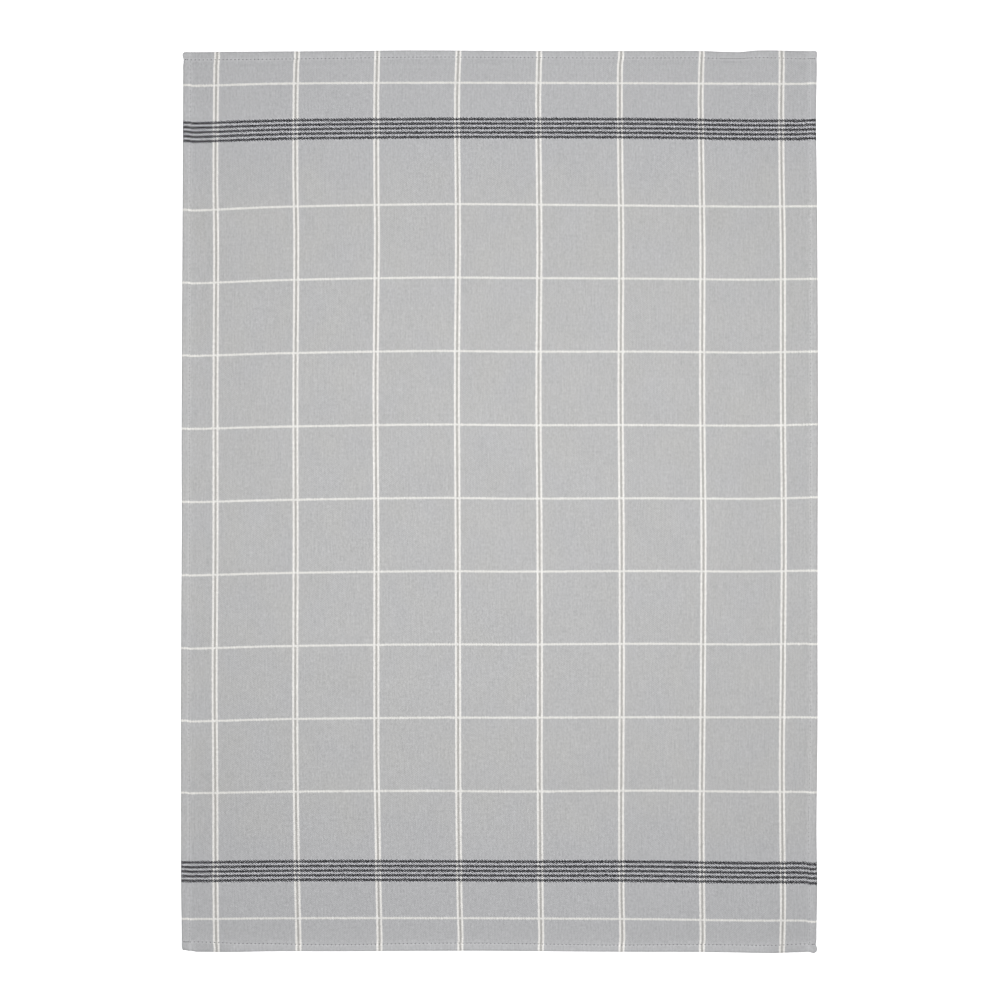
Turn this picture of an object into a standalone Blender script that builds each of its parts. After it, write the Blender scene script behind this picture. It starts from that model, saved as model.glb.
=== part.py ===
"""Flat woven tea towel with four narrow turned hems, lying face up.

Metres, +Z up.  The cloth lies in the XY plane: its warp and its longer side run along Y,
its face looks up, and its underside rests on z = 0.  The origin is the centre of its
footprint.  It is one piece of cloth, so it is one solid: a thin field, thicker hems
where the edge is turned under, and a small pile of layers at each corner.
"""

import bisect
import math

import bmesh
import bpy

MM = 0.001

# ---------------------------------------------------------------- driving sizes, in metres

WIDTH = 498.0 * MM
LENGTH = 705.6 * MM

FIELD_THICKNESS = 1.0 * MM
HEM_THICKNESS = 2.4 * MM
CORNER_PILE = 0.8 * MM          # what the crossing hems add to a corner
STITCH_FROM_EDGE = 6.0 * MM
HEM_WIDTH = 7.2 * MM            # from the edge to the inner fold
TOUCHDOWN = 15.0 * MM           # where the field meets the surface again

STITCH_SINK = 0.2 * MM          # how far the sewing pulls the face down
FOLD_WALL = 0.8 * MM            # upright part of the rounded outer fold

FIELD_COLUMNS = 32              # spans of the field across its width
FIELD_ROWS = 45                 # spans of the field along its length

# Section across a hem, from the outer fold to the flat field, in metres.
HEM_SECTION_COLUMNS = ("from_edge", "top", "underside")
HEM_SECTION = (
    (0.0, (HEM_THICKNESS + FOLD_WALL) / 2, (HEM_THICKNESS - FOLD_WALL) / 2),
    (0.5 * MM, HEM_THICKNESS - 0.25 * MM, 0.15 * MM),
    (1.5 * MM, HEM_THICKNESS, 0.0),
    (3.5 * MM, HEM_THICKNESS, 0.0),
    (STITCH_FROM_EDGE, HEM_THICKNESS - STITCH_SINK, 0.0),
    (HEM_WIDTH, HEM_THICKNESS - 0.15 * MM, 0.0),
    (HEM_WIDTH + 0.3 * MM, HEM_THICKNESS - 0.2 * MM, 1.1 * MM),
    (11.0 * MM, FIELD_THICKNESS + 0.45 * MM, 0.4 * MM),
    (TOUCHDOWN, FIELD_THICKNESS, 0.0),
)

# How far each edge strays outwards from a straight one, in millimetres.  Along runs from
# -1 to 1: upwards on the left and right edges, to the right on the top and bottom ones.
EDGE_WANDER_COLUMNS = ("along", "left", "right", "top", "bottom")
EDGE_WANDER_MM = (
    (-0.96, -0.3, -1.3, -1.5, -0.6),
    (-0.85, 0.2, -0.7, -1.2, -0.4),
    (-0.72, 0.2, -1.2, -1.0, -1.0),
    (-0.50, 0.3, -0.4, -0.6, -1.0),
    (-0.28, 0.1, -0.4, -0.1, -1.3),
    (-0.06, -0.3, -0.3, -0.3, -1.4),
    (0.16, -0.2, 0.0, -0.6, -1.0),
    (0.38, -0.5, -0.2, -0.6, -0.6),
    (0.60, -0.9, -0.6, -0.5, -0.5),
    (0.74, -1.1, -1.1, -0.4, -0.1),
    (0.86, -1.3, -1.6, -0.1, 0.4),
    (0.96, -1.4, -1.0, -0.6, -0.3),
)

# At each corner the folded layers stand out as a small ear beside a notch at the sewing,
# in millimetres, on the upright edge (side) and on the level one (end).
CORNER_COLUMNS = ("side_ear", "side_notch", "end_ear", "end_notch", "rounding")
CORNER_MM = {
    ("left", "top"): (0.5, -0.4, 0.1, 0.0, 1.5),
    ("right", "top"): (0.2, -0.1, 0.0, -0.1, 1.2),
    ("left", "bottom"): (-0.1, 0.0, -1.1, -0.8, 4.0),
    ("right", "bottom"): (0.7, -0.3, 0.8, -0.2, 1.2),
}
EAR_PLACE, EAR_REACH = 2.8 * MM, 3.2 * MM
NOTCH_PLACE, NOTCH_REACH = 6.8 * MM, 4.8 * MM

# The wander of an edge dies away between these distances inside it.
WANDER_HOLDS = 15.0 * MM
WANDER_ENDS = 90.0 * MM
EAR_ENDS = 8.0 * MM

# A pucker in the top hem, towards its right-hand end: the edge is drawn in and the hem
# bows up off the surface.
PUCKER_CENTRE = 188.3 * MM
PUCKER_REACH_LEFT = 37.0 * MM
PUCKER_REACH_RIGHT = 15.5 * MM
PUCKER_DRAW = 1.15 * MM
PUCKER_LIFT = 0.7 * MM
PUCKER_DEPTH = 22.0 * MM

CLOTH_COLOUR = (0.50, 0.50, 0.505, 1.0)
CLOTH_ROUGHNESS = 0.9
SHARP_EDGE = math.radians(35)


# ---------------------------------------------------------------------------- small helpers

def ease(t):
    """Smooth step from 0 to 1."""
    t = min(1.0, max(0.0, t))
    return t * t * (3 - 2 * t)


def fade(distance, holds, ends):
    """1 up to holds, 0 from ends, smooth between them."""
    return 1 - ease((distance - holds) / (ends - holds))


def bump(offset, reach):
    """A smooth hump of height 1 and half width reach."""
    return 1 - ease(abs(offset) / reach)


def column(table, names, name):
    """One named column of a table, paired with the table's first column."""
    index = names.index(name)
    return [(row[0], row[index]) for row in table]


def curve_through(stations, place):
    """Smooth curve through (place, value) stations, level beyond both ends."""
    places = [station[0] for station in stations]
    values = [station[1] for station in stations]
    if place <= places[0]:
        return values[0]
    if place >= places[-1]:
        return values[-1]
    i = bisect.bisect_right(places, place) - 1
    span = places[i + 1] - places[i]
    t = (place - places[i]) / span

    def slope(k):
        if k in (0, len(places) - 1):
            return 0.0
        return (values[k + 1] - values[k - 1]) / (places[k + 1] - places[k - 1]) * span

    step = values[i + 1] - values[i]
    rise = slope(i) * t * (1 - t) ** 2 - slope(i + 1) * t * t * (1 - t)
    return values[i] + step * ease(t) + rise


def straight_between(stations, place):
    """Straight lines through (place, value) stations, level beyond both ends."""
    for (low, a), (high, b) in zip(stations, stations[1:]):
        if place <= high:
            return a + (b - a) * max(0.0, (place - low) / (high - low))
    return stations[-1][1]


# ------------------------------------------------------------------------- form of the cloth

WANDER = {side: column(EDGE_WANDER_MM, EDGE_WANDER_COLUMNS, side)
          for side in ("left", "right", "top", "bottom")}
TOP_OF_HEM = column(HEM_SECTION, HEM_SECTION_COLUMNS, "top")
UNDERSIDE_OF_HEM = column(HEM_SECTION, HEM_SECTION_COLUMNS, "underside")


def corner_value(side, end, name):
    """A corner's value in metres."""
    return CORNER_MM[side, end][CORNER_COLUMNS.index(name)] * MM


def corner_shape(side, end, edge, from_corner):
    """Outward shift of an edge near one corner: the ear, then the notch."""
    ear = corner_value(side, end, edge + "_ear")
    notch = corner_value(side, end, edge + "_notch")
    return (ear * bump(from_corner - EAR_PLACE, EAR_REACH)
            + notch * bump(from_corner - NOTCH_PLACE, NOTCH_REACH))


def pucker(x, from_top):
    """How much of the pucker acts here, from 0 to 1."""
    reach = PUCKER_REACH_LEFT if x < PUCKER_CENTRE else PUCKER_REACH_RIGHT
    return bump(x - PUCKER_CENTRE, reach) * fade(from_top, 0.0, PUCKER_DEPTH)


def outline_place(x, y):
    """Where a point of the straight-edged sheet lies once its edges have strayed."""
    side = "left" if x < 0 else "right"
    end = "bottom" if y < 0 else "top"
    from_side = WIDTH / 2 - abs(x)
    from_end = LENGTH / 2 - abs(y)

    rounding = corner_value(side, end, "rounding")
    in_x, in_y = rounding - from_side, rounding - from_end
    pull_x = pull_y = 0.0
    if in_x > 0 and in_y > 0:
        shrink = max(in_x, in_y) / math.hypot(in_x, in_y)
        pull_x, pull_y = in_x * (1 - shrink), in_y * (1 - shrink)

    out_x = curve_through(WANDER[side], y / (LENGTH / 2)) * MM
    out_x *= fade(from_side, WANDER_HOLDS, WANDER_ENDS)
    out_x += corner_shape(side, end, "side", from_end) * fade(from_side, 0.0, EAR_ENDS)
    out_y = curve_through(WANDER[end], x / (WIDTH / 2)) * MM
    out_y *= fade(from_end, WANDER_HOLDS, WANDER_ENDS)
    out_y += corner_shape(side, end, "end", from_side) * fade(from_end, 0.0, EAR_ENDS)
    if end == "top":
        out_y -= PUCKER_DRAW * pucker(x, from_end)

    sign_x = -1 if side == "left" else 1
    sign_y = -1 if end == "bottom" else 1
    return x + sign_x * (out_x - pull_x), y + sign_y * (out_y - pull_y)


def on_hem(distance):
    """1 on the flat of a hem, 0 at its outer fold and out in the field."""
    rise = ease(distance / (1.5 * MM))
    return rise * fade(distance, STITCH_FROM_EDGE, HEM_WIDTH + 2 * MM)


def heights(x, y):
    """Height of the face and of the underside at a point of the sheet."""
    from_side = WIDTH / 2 - abs(x)
    from_end = LENGTH / 2 - abs(y)
    from_edge = min(from_side, from_end)
    top = straight_between(TOP_OF_HEM, from_edge)
    underside = straight_between(UNDERSIDE_OF_HEM, from_edge)
    top += CORNER_PILE * on_hem(from_side) * on_hem(from_end)
    if y > 0:
        lift = PUCKER_LIFT * pucker(x, from_end)
        top += lift
        underside += lift
    return top, underside


def grid_lines(half, spans):
    """Places of the grid lines along one direction: the hem's sections, then the field."""
    sections = [row[0] for row in HEM_SECTION]
    inner = half - TOUCHDOWN
    low = [-half + distance for distance in sections]
    high = [half - distance for distance in reversed(sections)]
    field = [-inner + 2 * inner * i / spans for i in range(1, spans)]
    return low + field + high


# ------------------------------------------------------------------------------- the solid

def towel_mesh():
    """The sheet as one closed body: face, underside and the wall of its outer fold."""
    columns = grid_lines(WIDTH / 2, FIELD_COLUMNS)
    rows = grid_lines(LENGTH / 2, FIELD_ROWS)
    body = bmesh.new()
    face, underside = [], []
    for y in rows:
        face_row, underside_row = [], []
        for x in columns:
            place = outline_place(x, y)
            top, bottom = heights(x, y)
            face_row.append(body.verts.new((*place, top)))
            underside_row.append(body.verts.new((*place, bottom)))
        face.append(face_row)
        underside.append(underside_row)

    last_row, last_column = len(rows) - 1, len(columns) - 1
    for j in range(last_row):
        for i in range(last_column):
            ring = [(j, i), (j, i + 1), (j + 1, i + 1), (j + 1, i)]
            body.faces.new([face[r][c] for r, c in ring])
            body.faces.new([underside[r][c] for r, c in reversed(ring)])

    rim = [(0, i) for i in range(last_column)]
    rim += [(j, last_column) for j in range(last_row)]
    rim += [(last_row, i) for i in range(last_column, 0, -1)]
    rim += [(j, 0) for j in range(last_row, 0, -1)]
    for (j, i), (next_j, next_i) in zip(rim, rim[1:] + rim[:1]):
        body.faces.new([underside[j][i], underside[next_j][next_i],
                        face[next_j][next_i], face[j][i]])

    centre_on_footprint(body)
    mesh = bpy.data.meshes.new("towel")
    body.to_mesh(mesh)
    body.free()
    mesh.shade_smooth()
    mesh.set_sharp_from_angle(angle=SHARP_EDGE)
    return mesh


def centre_on_footprint(body):
    """Move the sheet so that the middle of its outer sizes is over the origin."""
    xs = [vertex.co.x for vertex in body.verts]
    ys = [vertex.co.y for vertex in body.verts]
    middle = ((min(xs) + max(xs)) / 2, (min(ys) + max(ys)) / 2, 0.0)
    bmesh.ops.translate(body, verts=body.verts, vec=[-value for value in middle])


def cloth_material():
    """Grey cotton twill, matt."""
    material = bpy.data.materials.new("cotton_twill")
    material.use_nodes = True
    shader = material.node_tree.nodes["Principled BSDF"]
    shader.inputs["Base Color"].default_value = CLOTH_COLOUR
    shader.inputs["Roughness"].default_value = CLOTH_ROUGHNESS
    shader.inputs["Metallic"].default_value = 0.0
    return material


def clear_scene():
    for existing in list(bpy.data.objects):
        bpy.data.objects.remove(existing, do_unlink=True)


def build():
    clear_scene()
    mesh = towel_mesh()
    mesh.materials.append(cloth_material())
    towel = bpy.data.objects.new("towel", mesh)
    bpy.context.scene.collection.objects.link(towel)


build()
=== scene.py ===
# %% [markdown]
# # A tea towel, step by step
#
# This lesson dresses a flat cotton tea towel: grey twill with a white windowpane check, five
# charcoal stripes near each end, and narrow hems sewn with grey thread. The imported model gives
# a plain sheet at the right size. It is loaded first and stays fixed, and everything that is
# made here lies where it says.

# %% Load the frame
import math

import bpy
import numpy as np
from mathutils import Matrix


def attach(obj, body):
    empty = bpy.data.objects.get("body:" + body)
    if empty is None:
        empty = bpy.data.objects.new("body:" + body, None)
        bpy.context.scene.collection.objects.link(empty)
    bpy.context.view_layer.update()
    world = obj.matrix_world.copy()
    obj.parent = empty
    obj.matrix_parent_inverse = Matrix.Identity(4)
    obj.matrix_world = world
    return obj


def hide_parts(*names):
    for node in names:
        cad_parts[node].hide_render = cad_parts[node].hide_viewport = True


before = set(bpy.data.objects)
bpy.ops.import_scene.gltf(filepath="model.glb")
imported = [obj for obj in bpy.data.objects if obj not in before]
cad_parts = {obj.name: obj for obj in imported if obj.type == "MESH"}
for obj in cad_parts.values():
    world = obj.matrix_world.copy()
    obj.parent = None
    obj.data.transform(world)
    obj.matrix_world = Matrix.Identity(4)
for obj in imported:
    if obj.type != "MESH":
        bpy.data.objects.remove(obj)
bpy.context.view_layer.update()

# %% [markdown]
# ## Sizes of the cloth
#
# A weaver and a hemmer think in millimetres, so this file does too, and turns them into metres
# only when a mesh is made. `u` runs across the cloth and `v` along its warp, both from the
# middle of the towel. A hem is the edge folded under twice, so it is three layers thick, and
# four hems cross at the corners.

# %% Sizes, in millimetres
MM = 0.001
WIDTH, LENGTH = 498.0, 705.6
HALF_WIDTH, HALF_LENGTH = WIDTH / 2, LENGTH / 2
CUT_WIDTH, CUT_LENGTH = 524.0, 732.0  # before its edges were turned under
FIELD_THICKNESS = 1.0
HEM_THICKNESS = 2.4
CORNER_PILE = 0.8
STITCH_FROM_EDGE = 6.0  # on average; the table of sewing lines gives the rest
HEM_WIDTH = 7.2
TOUCHDOWN = 15.0  # where the field lies on the table again

cut_margin = ((CUT_WIDTH - WIDTH) / 2, (CUT_LENGTH - LENGTH) / 2)
print("cloth turned under on each side and end, mm:", cut_margin)

# %% [markdown]
# ## Smooth curves
#
# Cloth has no sharp steps, so everything below is made of three shapes: an ease from 0 to 1, a
# hump, and a curve that runs smoothly through a few stations. The last one also reads a table
# in two directions, which is how the drift of the threads over the towel is described. All of
# them take whole arrays of places, because numpy then does the loop.

# %% Curve helpers
def ease(t):
    """Smooth step from 0 to 1."""
    t = np.clip(t, 0.0, 1.0)
    return t * t * (3 - 2 * t)


def fade(distance, holds, ends):
    """1 up to holds, 0 from ends, smooth between them."""
    return 1 - ease((distance - holds) / (ends - holds))


def hump(offset, reach):
    """A smooth hump of height 1 and half width reach."""
    return 1 - ease(np.abs(offset) / reach)


def curve_through(stations, values, at):
    """Smooth curve through the stations, level beyond both ends.

    values has one number for each station, or one row of numbers with one for each place.
    """
    at = np.clip(np.atleast_1d(at).astype(float), stations[0], stations[-1])
    stations = np.asarray(stations, float)
    values = np.asarray(values, float)
    if values.ndim == 1:
        values = np.repeat(values[:, None], len(at), axis=1)
    slopes = np.zeros_like(values)
    slopes[1:-1] = (values[2:] - values[:-2]) / (stations[2:] - stations[:-2])[:, None]
    i = np.clip(np.searchsorted(stations, at, side="right") - 1, 0, len(stations) - 2)
    place = np.arange(len(at))
    span = stations[i + 1] - stations[i]
    t = (at - stations[i]) / span
    step = values[i + 1, place] - values[i, place]
    rise = slopes[i, place] * t * (1 - t) ** 2 - slopes[i + 1, place] * t * t * (1 - t)
    return values[i, place] + step * ease(t) + rise * span


def named_column(table, names, name):
    """One named column of a table, as a list."""
    return [row[names.index(name)] for row in table]


def named_rows(table, names):
    """The rows of a table, each as a dictionary by column name."""
    return [dict(zip(names, row)) for row in table]


print("an ease, at a quarter, half and three quarters:", ease(np.array([0.25, 0.5, 0.75])))

# %% [markdown]
# ## How the edges stray
#
# No hem is ruler straight. The sewing draws it in here and lets it out there, the folded layers
# stand out as a small ear at each corner, and near one end of the top hem the cloth has puckered.
# A short table gives how far each edge strays outwards, with a row for each section of it. These
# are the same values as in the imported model, so both have the same outline.

# %% Tables of the edges, in millimetres
# Along runs from -1 to 1: upwards on the left and right edges, to the right on the other two.
EDGE_COLUMNS = ("along", "left", "right", "top", "bottom")
EDGE_WANDER = (
    (-0.96, -0.3, -1.3, -1.5, -0.6),
    (-0.85, 0.2, -0.7, -1.2, -0.4),
    (-0.72, 0.2, -1.2, -1.0, -1.0),
    (-0.50, 0.3, -0.4, -0.6, -1.0),
    (-0.28, 0.1, -0.4, -0.1, -1.3),
    (-0.06, -0.3, -0.3, -0.3, -1.4),
    (0.16, -0.2, 0.0, -0.6, -1.0),
    (0.38, -0.5, -0.2, -0.6, -0.6),
    (0.60, -0.9, -0.6, -0.5, -0.5),
    (0.74, -1.1, -1.1, -0.4, -0.1),
    (0.86, -1.3, -1.6, -0.1, 0.4),
    (0.96, -1.4, -1.0, -0.6, -0.3),
)

# How far the line of sewing runs from each edge. The hemmer's foot wanders.
SEWING_LINE = (
    (-0.96, 6.1, 5.3, 6.2, 8.2),
    (-0.80, 6.4, 6.4, 6.3, 6.8),
    (-0.55, 6.4, 5.6, 6.0, 5.4),
    (-0.20, 6.2, 5.5, 5.4, 6.3),
    (0.10, 6.1, 5.7, 5.4, 6.0),
    (0.35, 6.0, 5.8, 5.7, 5.5),
    (0.62, 6.0, 5.5, 5.6, 6.2),
    (0.75, 5.9, 5.0, 5.5, 6.3),
    (0.87, 5.9, 5.2, 5.9, 6.4),
    (0.96, 5.8, 5.9, 6.3, 6.9),
)

CORNER_COLUMNS = ("side_ear", "side_notch", "end_ear", "end_notch", "rounding")
CORNERS = {
    ("left", "top"): (0.5, -0.4, 0.1, 0.0, 1.5),
    ("right", "top"): (0.2, -0.1, 0.0, -0.1, 1.2),
    ("left", "bottom"): (-0.1, 0.0, -1.1, -0.8, 4.0),
    ("right", "bottom"): (0.7, -0.3, 0.8, -0.2, 1.2),
}
EAR_PLACE, EAR_REACH, EAR_ENDS = 2.8, 3.2, 8.0
NOTCH_PLACE, NOTCH_REACH = 6.8, 4.8

PUCKER_CENTRE, PUCKER_REACH_LEFT, PUCKER_REACH_RIGHT = 188.3, 37.0, 15.5
PUCKER_DRAW, PUCKER_LIFT, PUCKER_DEPTH = 1.15, 0.7, 22.0

SIDES = {"left": -1, "right": 1}
ENDS = {"bottom": -1, "top": 1}


def along_edge(table, name, place):
    """One column of an edge table, read at a place from -1 to 1."""
    stations = named_column(table, EDGE_COLUMNS, "along")
    return curve_through(stations, named_column(table, EDGE_COLUMNS, name), place)


def pucker(u, from_top):
    """How much of the pucker acts here, from 0 to 1."""
    reach = np.where(u < PUCKER_CENTRE, PUCKER_REACH_LEFT, PUCKER_REACH_RIGHT)
    return hump(u - PUCKER_CENTRE, reach) * fade(from_top, 0.0, PUCKER_DEPTH)


print("left edge strays, at its middle, mm:", along_edge(EDGE_WANDER, "left", 0.0))

# %% [markdown]
# ## How the threads drift
#
# The check was straight on the loom. Washing, sewing and laying out have bowed it, so a white
# line wanders by up to 2 mm to each side, and a stripe sags towards the sides of the towel. If
# the pattern were drawn straight, the towel would look printed. Here two short tables say
# where each line of the check has gone, and every point of the cloth follows its neighbours.
# The hems have their own rows and columns, because folding and sewing shifts the layers.

# %% Tables of the drift, in millimetres
# To the right, for each of the eight double warp lines, with a row for each place v.
WARP_PITCH = 63.5
WARP_LINES = [(line - 3.5) * WARP_PITCH for line in range(8)]
DRIFT_RIGHT_COLUMNS = ("v", "line_1", "line_2", "line_3", "line_4",
                       "line_5", "line_6", "line_7", "line_8")
DRIFT_RIGHT = (
    (-349, 1.0, 1.5, 1.3, 1.0, 0.4, 0.0, -0.7, -1.7),
    (-342, 0.5, 1.35, 1.3, 1.2, 0.75, 0.6, -0.1, -1.2),
    (-312, 0.1, 0.6, 0.7, 0.4, 0.3, 0.1, -0.4, -0.7),
    (-254, -0.1, -0.3, -0.3, -0.4, -0.2, -0.3, -0.9, -1.3),
    (-200, -0.3, -0.9, -1.1, -0.7, -0.5, -0.1, -0.4, -1.6),
    (-142, -0.7, -1.1, -1.2, -0.8, -0.3, 0.2, 0.1, -0.9),
    (-28, 0.0, -0.8, -1.2, -1.1, -0.6, 0.1, 0.6, -0.1),
    (87, 0.0, -1.0, -1.8, -1.7, -1.4, -0.7, -0.4, -0.8),
    (202, 0.5, -0.3, -0.8, -0.9, -0.7, -0.2, -0.2, -0.9),
    (255, -0.1, -1.0, -1.2, -1.2, -1.1, -0.8, -0.9, -1.8),
    (313, 0.3, -0.9, -1.3, -1.6, -1.6, -1.3, -1.6, -2.1),
    (342, 0.7, -0.3, -0.75, -0.85, -1.05, -1.1, -1.05, -1.65),
    (349, 1.4, 0.3, -0.5, -0.5, -0.9, -0.3, -0.7, -1.9),
)

# Upwards, for weft lines and stripes, with a column for each place u.
DRIFT_UP_COLUMNS = ("v", "left_hem", "left_sewing", "left", "left_of_middle", "middle",
                    "right_of_middle", "right", "right_sewing", "right_hem")
DRIFT_UP_PLACES = (-244.5, -241.5, -171, -51, 13, 113, 197, 240, 244.5)
DRIFT_UP = (
    (-326, -0.3, -0.7, -0.1, 0.0, -0.2, -0.8, -1.9, -2.0, -2.7),
    (-289, -0.4, -0.8, 0.0, 0.1, -0.2, -0.4, -1.5, -1.6, -2.2),
    (-227, -0.4, -1.0, 0.2, 0.8, 0.3, 1.0, 0.2, 0.0, -0.2),
    (-170, -1.5, -2.3, -0.5, 0.7, 0.7, 1.0, 0.9, 1.0, 0.9),
    (-112, -2.4, -2.8, -0.8, 0.6, 0.5, 1.1, 0.6, 1.1, 0.8),
    (2, -2.7, -3.0, -1.3, 0.3, -0.2, 0.0, -0.3, 0.5, 0.8),
    (117, -3.1, -3.5, -1.4, 0.4, -0.1, -0.1, -0.8, -0.1, -0.1),
    (232, -4.0, -4.6, -1.7, 0.4, 0.2, -0.7, -1.5, -1.2, -1.2),
    (292, -3.0, -3.5, -1.3, 0.0, 0.0, -0.2, -1.4, -1.3, -1.1),
    (327, -1.8, -2.3, -0.5, 0.2, 0.1, -0.2, -0.6, -0.7, -0.5),
)


def drift_right(u, v):
    """How far the cloth has moved to the right of its place on the loom."""
    rows = named_column(DRIFT_RIGHT, DRIFT_RIGHT_COLUMNS, "v")
    lines = [curve_through(rows, named_column(DRIFT_RIGHT, DRIFT_RIGHT_COLUMNS, name), v)
             for name in DRIFT_RIGHT_COLUMNS[1:]]
    left = -along_edge(EDGE_WANDER, "left", v / HALF_LENGTH)
    right = along_edge(EDGE_WANDER, "right", v / HALF_LENGTH)
    return curve_through([-HALF_WIDTH, *WARP_LINES, HALF_WIDTH], [left, *lines, right], u)


def drift_up(u, v):
    """How far the cloth has moved up from its place on the loom."""
    places = [-HALF_LENGTH] + named_column(DRIFT_UP, DRIFT_UP_COLUMNS, "v") + [HALF_LENGTH]
    rows = [curve_through(DRIFT_UP_PLACES, row[1:], u) for row in DRIFT_UP]
    bottom = -along_edge(EDGE_WANDER, "bottom", u / HALF_WIDTH)
    top = along_edge(EDGE_WANDER, "top", u / HALF_WIDTH)
    return curve_through(places, [bottom, *rows, top], v)


print("warp lines stand at, mm:", WARP_LINES)

# %% [markdown]
# ## Where a point of the cloth lies
#
# Now the pieces come together: a point of the cloth, given by how far it is across and along,
# gets a place on the table. The grid of the mesh thinks that the sewing is 6 mm from every
# edge. `on_cloth` slides its lines so that the one at 6 mm falls on the real line of sewing.
# `lie` then adds the drift, the corners and the pucker. The pattern is drawn later from the
# cloth's own millimetres, so it moves with the threads by itself.

# %% From the grid to the cloth, and from the cloth to the table
SEWING_SLIDE_ENDS = 20.0  # inside this distance from an edge the grid lines slide
TINY = 1e-6  # keeps a division away from zero


def on_cloth(u, v):
    """Millimetres on the cloth for a point of the even grid."""
    moved = []
    for here, half, names, along in ((u, HALF_WIDTH, SIDES, v / HALF_LENGTH),
                                     (v, HALF_LENGTH, ENDS, u / HALF_WIDTH)):
        from_edge = half - np.abs(here)
        slide = np.zeros_like(here)
        for name, sign in names.items():
            extra = along_edge(SEWING_LINE, name, along) - STITCH_FROM_EDGE
            slide += np.where(here * sign > 0, sign * extra, 0.0)
        reach = ease(from_edge / STITCH_FROM_EDGE) * fade(from_edge, HEM_WIDTH, SEWING_SLIDE_ENDS)
        moved.append(here - slide * reach)
    return moved


def corner_value(name, u, v):
    """A column of the corner table, for the corner that is nearest to each point."""
    index = CORNER_COLUMNS.index(name)
    value = np.zeros_like(u)
    for (side, end), row in CORNERS.items():
        here = (u * SIDES[side] >= 0) & (v * ENDS[end] >= 0)
        value = np.where(here, row[index], value)
    return value


def corner_shape(edge, from_corner, u, v):
    """Outward shift of an edge near a corner: the ear, then the notch."""
    ear = corner_value(edge + "_ear", u, v) * hump(from_corner - EAR_PLACE, EAR_REACH)
    notch = corner_value(edge + "_notch", u, v) * hump(from_corner - NOTCH_PLACE, NOTCH_REACH)
    return ear + notch


def lie(u, v):
    """Where points of the cloth lie on the table, in millimetres."""
    from_side = HALF_WIDTH - np.abs(u)
    from_end = HALF_LENGTH - np.abs(v)
    rounding = corner_value("rounding", u, v)
    in_u, in_v = rounding - from_side, rounding - from_end
    shrink = np.maximum(in_u, in_v) / np.maximum(np.hypot(in_u, in_v), TINY)
    rounded = (in_u > 0) & (in_v > 0)
    pull_u = np.where(rounded, in_u * (1 - shrink), 0.0)
    pull_v = np.where(rounded, in_v * (1 - shrink), 0.0)
    out_u = corner_shape("side", from_end, u, v) * fade(from_side, 0.0, EAR_ENDS) - pull_u
    out_v = corner_shape("end", from_side, u, v) * fade(from_end, 0.0, EAR_ENDS) - pull_v
    out_v = out_v - np.where(v > 0, PUCKER_DRAW * pucker(u, from_end), 0.0)
    x = u + drift_right(u, v) + np.sign(u) * out_u
    y = v + drift_up(u, v) + np.sign(v) * out_v
    return x, y


corner_u, corner_v = np.array([HALF_WIDTH]), np.array([HALF_LENGTH])
print("the top right corner lies at, mm:", lie(corner_u, corner_v))

# %% [markdown]
# ## The section across a hem
#
# At its outer fold the cloth turns through half a circle. Then come three flat layers, the
# groove where the thread pulls them together, the inner fold on the underside, and a slope down
# to the single layer. A table holds that section, a station for each change. The field itself
# is not quite flat: slack cloth stands off the table in low, wide swells.

# %% The section, in millimetres
SECTION_COLUMNS = ("from_edge", "top", "underside")
SECTION = (
    (1.2, 2.40, 0.00),
    (3.0, 2.40, 0.00),
    (5.0, 2.38, 0.00),
    (5.6, 2.32, 0.12),
    (6.0, 2.18, 0.30),
    (6.4, 2.30, 0.12),
    (6.9, 2.30, 0.00),
    (7.1, 2.26, 0.35),
    (7.3, 2.20, 0.95),
    (7.6, 2.06, 1.10),
    (8.4, 1.74, 0.76),
    (10.5, 1.32, 0.32),
    (12.5, 1.10, 0.10),
    (TOUCHDOWN, FIELD_THICKNESS, 0.00),
)
FOLD_RADIUS = HEM_THICKNESS / 2
FLAT_STARTS, FLAT_ENDS = 1.5, 9.2  # a hem's flat, in from its outer fold and into the slope

# Low swells of the slack field, as waves across and along with their heights.
SWELL_COLUMNS = ("across_mm", "along_mm", "start", "height")
SWELLS = (
    (310.0, 520.0, 0.4, 0.16),
    (-190.0, 260.0, 2.1, 0.10),
    (120.0, 410.0, 4.0, 0.07),
    (75.0, -150.0, 1.3, 0.04),
)
SWELL_STARTS, SWELL_FULL = 12.0, 60.0

# Between two stitches a hem bulges, and over a few centimetres it ripples.
HEM_RIPPLE_COLUMNS = ("wave_mm", "start", "height")
HEM_RIPPLES = ((47.0, 0.7, 0.07), (21.0, 2.6, 0.05))


def on_hem(distance):
    """1 on the flat of a hem, 0 at its outer fold and out in the field."""
    return ease(distance / FLAT_STARTS) * fade(distance, STITCH_FROM_EDGE, FLAT_ENDS)


def swell(u, v):
    """Height of the slack cloth over the table."""
    height = np.zeros_like(u)
    for wave in named_rows(SWELLS, SWELL_COLUMNS):
        turns = u / wave["across_mm"] + v / wave["along_mm"]
        height += wave["height"] * (1 + np.sin(2 * np.pi * turns + wave["start"]))
    return height


def ripple(along):
    """Height of the small ripples of a hem."""
    height = np.zeros_like(along)
    for wave in named_rows(HEM_RIPPLES, HEM_RIPPLE_COLUMNS):
        turns = along / wave["wave_mm"]
        height += wave["height"] * (1 + np.sin(2 * np.pi * turns + wave["start"]))
    return height


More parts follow.
